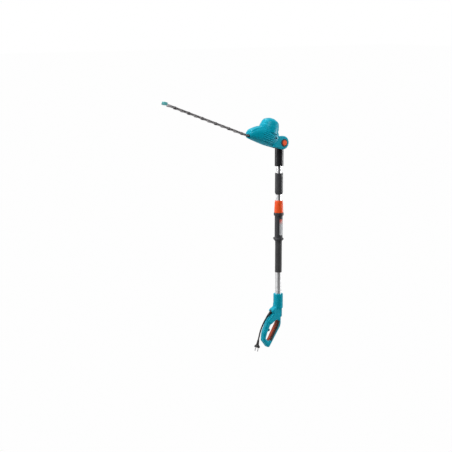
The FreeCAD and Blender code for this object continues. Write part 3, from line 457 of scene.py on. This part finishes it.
def make_grip_inlays():
    """Soft strip let into the edge of the grip beside the trigger, on both faces of the loop."""
    path = rounded_profile([(-7, -313, 0), (-17.5, -340, 60), (-61, -406.5, 0)], 24)
    path = resampled(path, 1.5)
    first = math.acos(min(1.0, (-INLAY_START_Y - LOOP_HALF + LOOP_ROUND) / LOOP_ROUND))
    skin = []
    for k in range(11):
        turn = first * (1 - k / 10)
        edge_y = -(LOOP_HALF - LOOP_ROUND) - LOOP_ROUND * math.cos(turn)
        skin.append((LOOP_ROUND - LOOP_ROUND * math.sin(turn), edge_y))
    skin += [(LOOP_ROUND + 1.2 * k, -LOOP_HALF) for k in (1, 2, 3)]
    centre = (LOOP_ROUND + 4, -LOOP_HALF + 8)
    for name, side in (("grip_inlay_near", 1), ("grip_inlay_far", -1)):
        vertices = []
        for i, (x, z) in enumerate(path):
            ahead = Vector(path[min(i + 1, len(path) - 1)]) - Vector(path[max(i - 1, 0)])
            across = Vector((-ahead.y, ahead.x)).normalized()
            ends = smooth_step(i / 3) * smooth_step((len(path) - 1 - i) / 3)
            ribs = 0.15 * (0.5 - 0.5 * math.cos(math.tau * i / 3))
            for lift in (0.45 * ends - ribs, -0.6):
                loop = skin if lift > -0.6 else skin[::-1]
                for u, y in loop:
                    out = Vector((u - centre[0], y - centre[1])).normalized() * lift
                    reach = u + out.x
                    point = Vector((x + across.x * reach, side * (y + out.y), z + across.y * reach))
                    vertices.append(point * MM)
        faces = grid_faces(len(path), 2 * len(skin), True, True, True)
        if side > 0:
            faces = [face[::-1] for face in faces]
        strip = mesh_object(name, vertices, faces, "soft_brown", "grip_pole")
        smooth_to(strip, 45)


# ---------------------------------------------------------------- springs and coiled lead
TURN_STEPS = 16
WIRE_STEPS = 8


def coil(name, base, way, radii, wire_r, length, turns, slot_name, body, node):
    """Helix of round wire from base along way; its radius runs from the first of radii to the second."""
    aim = Vector((0, 0, 1)).rotation_difference(way).to_matrix()
    count = turns * TURN_STEPS + 1
    vertices = []
    for i in range(count):
        share = i / (count - 1)
        turn = math.tau * turns * share
        radius = radii[0] + (radii[1] - radii[0]) * share
        rise = wire_r + (length - 2 * wire_r) * share
        for j in range(WIRE_STEPS):
            angle = math.tau * j / WIRE_STEPS
            reach = radius + wire_r * math.cos(angle)
            point = Vector((reach * math.cos(turn), reach * math.sin(turn), rise + wire_r * math.sin(angle)))
            vertices.append((base + aim @ point) * MM)
    faces = grid_faces(count, WIRE_STEPS, True, True, True)
    piece = mesh_object(name, vertices, faces, slot_name, body, [node])
    smooth_to(piece, 60)
    return piece


def make_springs():
    """Return springs of the trigger, the lock-off button and the two release buttons."""
    base = Vector((-25.0, 0, -367.0))
    way = Vector((math.sin(math.radians(122)), 0, math.cos(math.radians(122))))
    spring = coil("trigger_coil", base, way, (3.2, 3.2), 0.45, 9.6, 5, "steel", "grip_pole", "trigger_spring")
    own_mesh(spring)

    base = Vector((-6.0, 8.5, -276.0))
    way = Vector((0, 1, 0))
    spring = coil("lock_off_coil", base, way, (5.5, 4.0), 0.3, 2.6, 3, "steel", "grip_pole",
                  "lock_off_spring")
    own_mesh(spring)

    for side, word in ((-1, "near"), (1, "far")):
        base = Vector((0, side * 27.5, PIVOT_Z / MM))
        way = Vector((0, side, 0))
        spring = coil(f"release_coil_{word}", base, way, (10.5, 6.5), 0.4, 3.5, 3, "steel", "head",
                      "release_springs")
        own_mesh(spring)


def make_coiled_lead():
    """Stretching lead inside the pole, held at the handle and at the inner tube's top end."""
    low, high = -238.0, 330.0
    lead = coil("stretching_lead", Vector((0, 0, low)), Vector((0, 0, 1)), (6.25, 6.25), 1.7, high - low, 130,
                "cord", None, "coiled_lead")
    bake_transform(lead)


# ---------------------------------------------------------------- head shells
# Sections of the lower body across the head: distance from the pivot, half width, bottom, top.
BOAT_SECTIONS = [
    (38, 36, -36, 44), (60, 43, -38.5, 48), (92, 47, -40, 50), (122, 45, -39.5, 45),
    (150, 38.5, -38.5, 35), (173, 31, -37.5, 21), (186, 26, -36.5, 12), (195, 21.5, -34.5, 2),
]
BOAT_POWER = 2 / 2.25
SHELL_WALL = 2.6
KNUCKLE_R = 32.0
EAR_INNER = 22.0
EAR_OUTER = 38.0
EAR_ROUND = 10.0
MOTOR_L = 84.0
HOOD_SEAM_H = 58.0
MOUTH_HALF = 16.5
NOSE_ROWS = 10


def boat_relief(l, h, y):
    """How far the side of the lower body is sunk at a point, for its louvres, shoulder line and edges."""
    shoulder = through(SHOULDER, l)[0]
    below = smooth_step((shoulder - h) / 2.0)
    sunk = (grooved(h - shoulder, 3.0, 2.8) + 0.7 * below) * smooth_step((l - 44) / 12)
    for i in range(7):
        line = -27 + 9.0 * i + 0.0014 * (l - 95) ** 2
        ends = smooth_step((l - 64) / 5) * smooth_step((146 - 5.0 * abs(i - 3) - l) / 16)
        ends *= smooth_step((shoulder - 4 - line) / 3)
        sunk += grooved(h - line, 3.2, 2.1) * ends - grooved(h - line - 4.5, 2.6, 0.9) * ends * below
    if y > 20:
        sunk += 4.5 * smooth_step((6.6 - math.hypot(l - 58, h - 7)) / 1.0)
    return sunk


SHOULDER = [(38, 30), (70, 36.5), (100, 38.5), (130, 34), (155, 24.5), (175, 12), (195, -6)]


def boat_half(side, inset, rows, columns):
    points = []
    nose_start, nose_end, nose_round = 188.5, 195.0, 6.5
    body_rows = rows - NOSE_ROWS
    for i in range(rows):
        share = min(1.0, i / (body_rows - 1))
        fold = max(0.02, min(1.0, (rows - 1 - i) / NOSE_ROWS))
        l = 38 + (nose_end - 38) * share
        half, low, high = through(BOAT_SECTIONS, l)
        lip = 0.0
        if l > nose_start:
            lip = nose_round * (1 - math.sqrt(max(0.0, 1 - ((l - nose_start) / nose_round) ** 2)))
        back = 4.0 * (1 - math.sqrt(max(0.0, 1 - ((42 - l) / 4.0) ** 2))) if l < 42 else 0.0
        shrink = inset + lip + back
        middle = (low + high) / 2
        wide, rise = half - shrink, (high - low) / 2 - shrink
        for j in range(columns):
            turn = math.pi * (j / (columns - 1) - 0.5)
            c, s = max(0.0, math.cos(turn)), math.sin(turn)
            y = wide * c**BOAT_POWER
            h = middle + math.copysign(rise * abs(s) ** BOAT_POWER, s)
            sunk = boat_relief(l, h, y) * min(1.0, y / 12)
            reach = math.hypot(y, h - middle)
            y -= sunk * y / reach
            h -= sunk * (h - middle) / reach
            y *= fold
            h = middle + (h - middle) * fold
            x = -l if inset == 0 else -(l * (1 - 2 * inset / 157) + inset)
            points.append((x, side * max(0.05, y), h))
    return points


def shell_between(outer, inner, rows, columns, flip):
    """Closed solid between two grids of the same size."""
    count = rows * columns
    faces = []
    for i in range(rows - 1):
        for j in range(columns - 1):
            a, b = i * columns + j, (i + 1) * columns + j
            faces.append((a, b, b + 1, a + 1))
            faces.append((count + a + 1, count + b + 1, count + b, count + a))
    for i in range(rows - 1):
        for j in (0, columns - 1):
            a, b = i * columns + j, (i + 1) * columns + j
            quad = (a, count + a, count + b, b)
            faces.append(quad if j == 0 else quad[::-1])
    for j in range(columns - 1):
        for i in (0, rows - 1):
            a = i * columns + j
            quad = (a, a + 1, count + a + 1, count + a)
            faces.append(quad if i == 0 else quad[::-1])
    if flip:
        faces = [face[::-1] for face in faces]
    return outer + inner, faces


def cap_grid(side, columns):
    """Back wall of the lower body as rows shrinking towards its middle."""
    half, low, high = through(BOAT_SECTIONS, 38)
    middle = (low + high) / 2
    points = []
    for i in range(10):
        share = 1 - i / 9.5
        for j in range(columns):
            turn = math.pi * (j / (columns - 1) - 0.5)
            c, s = max(0.0, math.cos(turn)), math.sin(turn)
            y = (half - 4) * share * c**BOAT_POWER
            h = middle + math.copysign(((high - low) / 2 - 4) * share * abs(s) ** BOAT_POWER, s)
            points.append((-38 - 0.8 * (i > 0), side * max(0.05, y), h))
    return points


def ear_points(side):
    """Rows of the knuckle disc with its arm, from its inner face to the button's seat."""
    columns = 120
    far_l = 56.0

    def outline_reach(turn):
        # distance from the pivot to the outline; angle 0 is towards +X, arm towards -X
        x, h = math.cos(turn), math.sin(turn)
        reach = KNUCKLE_R
        for px, ph, sign in ((-far_l, 16.0, 1), (-far_l, -36.0, -1)):
            base = math.atan2(ph, px)
            tangent = base - sign * math.acos(KNUCKLE_R / math.hypot(px, ph))
            nx, nh = math.cos(tangent), math.sin(tangent)
            facing = x * nx + h * nh
            between = (turn - tangent) * sign % math.tau
            if facing > 0 and between < (base - tangent) * sign % math.tau:
                reach = max(reach, KNUCKLE_R / facing)
        if x < 0:
            reach_far = far_l / -x
            low_turn = math.atan2(-36.0, -far_l) % math.tau
            high_turn = math.atan2(16.0, -far_l) % math.tau
            if high_turn < turn % math.tau < low_turn:
                reach = reach_far
        return reach

    rows = []
    for y, inset in ((EAR_INNER, 0.6), (EAR_INNER + 0.6, 0.0), (EAR_OUTER - EAR_ROUND, 0.0)):
        rows.append((y, inset, None))
    for i in range(1, 10):
        turn = math.pi / 2 * i / 9
        rows.append((EAR_OUTER - EAR_ROUND * (1 - math.sin(turn)), EAR_ROUND * (1 - math.cos(turn)), None))
    seat = ((EAR_OUTER, 18.9), (EAR_OUTER - 0.5, 18.2), (36.5, 18.1),
            (36.5, 13.3), (36.3, 12.9), (27.0, 12.8))
    for y, radius in seat:
        rows.append((y, 0, radius))
    points = []
    for y, inset, radius in rows:
        for j in range(columns):
            turn = math.tau * j / columns
            reach = radius if radius else max(outline_reach(turn) - inset, 19.2)
            points.append((reach * math.cos(turn), side * y, reach * math.sin(turn)))
    return points, len(rows), columns


def make_head_shells():
    rows, columns = 170, 170
    for side, word in ((-1, "near"), (1, "far")):
        outer = boat_half(side, 0.0, rows, columns)
        inner = boat_half(side, SHELL_WALL, rows, columns)
        vertices, faces = shell_between(outer, inner, rows, columns, side < 0)
        to_row = head_matrix()
        placed = [to_row @ Vector(v) for v in vertices]
        shell = mesh_object(f"head_side_{word}", placed, faces, "teal", "head", [f"head_shell_{word}"])
        cut_with_block(shell, (-230, -MOUTH_HALF, -31.5), (-172, MOUTH_HALF, -18.0))
        back = cap_grid(side, columns)
        quads = grid_faces(10, columns, False)
        ear, ear_rows, ear_columns = ear_points(side)
        for points, patch, turned_in in (
            (back, quads, side > 0),
            (ear, grid_faces(ear_rows, ear_columns, True, True, True), side > 0),
        ):
            join_patch(shell, [to_row @ Vector(v) for v in points], patch, turned_in)
        smooth_to(shell, 35)


def join_patch(obj, points, faces, flip):
    """Adds a patch of faces to a piece's mesh."""
    patch = bpy.data.meshes.new("patch")
    patch.from_pydata(points, [], [face[::-1] for face in faces] if flip else faces)
    work = bmesh.new()
    work.from_mesh(obj.data)
    work.from_mesh(patch)
    work.to_mesh(obj.data)
    work.free()


def cut_with_block(obj, low, high):
    """Cuts a block, given in the head's own frame, out of a piece."""
    x0, y0, z0 = low
    x1, y1, z1 = high
    corners = [(x, y, z) for x in (x0, x1) for y in (y0, y1) for z in (z0, z1)]
    to_row = head_matrix()
    mesh = bpy.data.meshes.new("cutter")
    mesh.from_pydata([to_row @ Vector(c) for c in corners], [], [
        (0, 1, 3, 2), (4, 6, 7, 5), (0, 4, 5, 1), (2, 3, 7, 6), (0, 2, 6, 4), (1, 5, 7, 3)])
    cutter = bpy.data.objects.new("cutter", mesh)
    collection.objects.link(cutter)
    cut = obj.modifiers.new("cut", "BOOLEAN")
    cut.operation = "DIFFERENCE"
    cut.solver = "EXACT"
    cut.object = cutter
    bpy.context.view_layer.update()
    evaluated = obj.evaluated_get(bpy.context.evaluated_depsgraph_get())
    finished = bpy.data.meshes.new_from_object(evaluated)
    obj.modifiers.clear()
    obj.data = finished
    bpy.data.objects.remove(cutter)


def rounded_profile(corners, steps=10):
    """Points of an open (r, z, corner radius) line with each corner rounded by an arc."""
    points = []
    for i, (r, z, radius) in enumerate(corners):
        if radius == 0 or i in (0, len(corners) - 1):
            points.append((r, z))
            continue
        corner = Vector((r, z))
        before = (Vector(corners[i - 1][:2]) - corner).normalized()
        after = (Vector(corners[i + 1][:2]) - corner).normalized()
        half = before.angle(after) / 2
        reach = radius / math.tan(half)
        centre = corner + (before + after).normalized() * (radius / math.sin(half))
        start = corner + before * reach
        end = corner + after * reach
        from_centre, to_centre = start - centre, end - centre
        sweep = from_centre.angle_signed(to_centre)
        for k in range(steps + 1):
            turn = -sweep * k / steps
            c, s = math.cos(turn), math.sin(turn)
            points.append((centre.x + from_centre.x * c - from_centre.y * s,
                           centre.y + from_centre.x * s + from_centre.y * c))
    return points


def resampled(points, step):
    """Extra points along a line so that none are further apart than step."""
    line = [points[0]]
    for a, b in zip(points, points[1:]):
        count = max(1, math.ceil(math.dist(a, b) / step))
        dx, dy = b[0] - a[0], b[1] - a[1]
        line += [(a[0] + dx * k / count, a[1] + dy * k / count) for k in range(1, count + 1)]
    return line


def make_motor_hood():
    """Domed hood over the motor, with a seam line round it."""
    outer = rounded_profile([(48, 24, 0), (47, 50, 25), (39, 80, 24), (14, 92, 22), (0.05, 92, 0)], 14)
    outer = resampled(outer, 1.2)
    inner = [(max(0.05, r - 2.6 * min(1.0, r / 10)), h - 2.6 * min(1.0, (h - 24) / 20)) for r, h in outer]
    profile = outer + inner[::-1]
    limit = len(outer)
    segments = 160
    vertices, faces = turned(profile, segments)
    moved = []
    for k, (x, y, h) in enumerate(vertices):
        r = math.hypot(x, y)
        if 0 < k // segments < limit and r > 30:
            share = (r - grooved(h - HOOD_SEAM_H, 0.9, 0.7)) / r
            x, y = x * share, y * share
        moved.append((x - MOTOR_L, y, h))
    to_row = head_matrix()
    placed = [to_row @ Vector(v) for v in moved]
    hood = mesh_object("motor_hood_cap", placed, faces, "teal", "head", ["motor_hood"])
    smooth_to(hood, 40)
    return hood


make_cord(make_plug())
make_foam_grip()
make_gland()
make_grip_inlays()
make_springs()
make_coiled_lead()
make_head_shells()
make_motor_hood()


# ---------------------------------------------------------------- studio
def seen_only(tree, seen, unseen, out):
    """Joins two shaders: one where the camera looks straight at it, the other for the light it gives."""
    path = tree.nodes.new("ShaderNodeLightPath")
    mix = tree.nodes.new("ShaderNodeMixShader")
    tree.links.new(path.outputs["Is Camera Ray"], mix.inputs["Fac"])
    tree.links.new(unseen, mix.inputs[1])
    tree.links.new(seen, mix.inputs[2])
    tree.links.new(mix.outputs["Shader"], out.inputs["Surface"])


# The studio is dark in front of the object, a little to its right.
DARK_SIDE = Vector((-0.20, -0.975, 0.05)).normalized()


def toward(tree, source, way):
    """How nearly a direction points along way, from -1 to 1."""
    unit = tree.nodes.new("ShaderNodeVectorMath")
    unit.operation = "NORMALIZE"
    tree.links.new(source, unit.inputs[0])
    facing = tree.nodes.new("ShaderNodeVectorMath")
    facing.operation = "DOT_PRODUCT"
    facing.inputs[1].default_value = Vector(way).normalized()
    tree.links.new(unit.outputs["Vector"], facing.inputs[0])
    return facing.outputs["Value"]


def make_floor():
    mesh = bpy.data.meshes.new("floor")
    reach = 40.0
    height = -0.62
    corners = [(x * reach, y * reach, height) for x, y in ((-1, -1), (1, -1), (1, 1), (-1, 1))]
    mesh.from_pydata(corners, [], [(0, 1, 2, 3)])
    floor = bpy.data.objects.new("floor", mesh)
    collection.objects.link(floor)
    material = bpy.data.materials.new("floor_white")
    material.use_nodes = True
    tree = material.node_tree
    tree.nodes.clear()
    out = tree.nodes.new("ShaderNodeOutputMaterial")
    glow = tree.nodes.new("ShaderNodeEmission")
    glow.inputs["Strength"].default_value = 0.99
    matt = tree.nodes.new("ShaderNodeBsdfDiffuse")
    place = tree.nodes.new("ShaderNodeNewGeometry")
    shade = ramp(tree, toward(tree, place.outputs["Position"], DARK_SIDE), 0.0, 1.0, 0.45, 0.92)
    tone = two_tone(tree, shade, (0.55, 0.55, 0.55), (0.14, 0.14, 0.14), 0.0, 1.0)
    tree.links.new(tone, matt.inputs["Color"])
    seen_only(tree, glow.outputs["Emission"], matt.outputs["BSDF"], out)
    floor.data.materials.append(material)


def make_world():
    """White studio with a dark side."""
    world = bpy.data.worlds.new("studio")
    scene.world = world
    world.use_nodes = True
    tree = world.node_tree
    tree.nodes.clear()
    out = tree.nodes.new("ShaderNodeOutputWorld")
    white = tree.nodes.new("ShaderNodeBackground")
    tent = tree.nodes.new("ShaderNodeBackground")
    white.inputs["Strength"].default_value = 1.0
    white.inputs["Color"].default_value = (1, 1, 1, 1)
    coords = tree.nodes.new("ShaderNodeTexCoord")
    flag = ramp(tree, toward(tree, coords.outputs["Generated"], DARK_SIDE), 1.0, 0.02, 0.45, 0.90)
    wall = ramp(tree, toward(tree, coords.outputs["Generated"], (-0.35, 0.80, 0.42)), 0.30, 1.05, -0.75, 0.75)
    product = tree.nodes.new("ShaderNodeMath")
    product.operation = "MULTIPLY"
    tree.links.new(flag, product.inputs[0])
    tree.links.new(wall, product.inputs[1])
    tree.links.new(product.outputs["Value"], tent.inputs["Strength"])
    seen_only(tree, white.outputs["Background"], tent.outputs["Background"], out)


def make_lights():
    back, right = Vector((-0.593, -0.787, 0.174)), Vector((0.799, -0.602, 0))
    up = back.cross(right)
    aim = Vector((-0.1, 0, 0.15))
    for name, way, size, power in (
        ("key", back * 0.72 - right * 0.02 + up * 0.70, 1.0, 44.0),
        ("left_strip", back * 0.05 - right * 0.95 + up * 0.15, 0.9, 30.0),
        ("right_strip", right * 0.95 - back * 0.28 + up * 0.1, 1.0, 56.0),
        ("top", up * 0.95 - back * 0.15 - right * 0.35, 1.2, 38.0),
    ):
        data = bpy.data.lights.new(name, "AREA")
        data.size = size
        data.energy = power
        light = bpy.data.objects.new(name, data)
        collection.objects.link(light)
        light.location = aim + way.normalized() * 3.0
        light.rotation_euler = (-way).to_track_quat("-Z", "Y").to_euler()


make_floor()
make_world()
make_lights()
scene.view_settings.view_transform = "Standard"
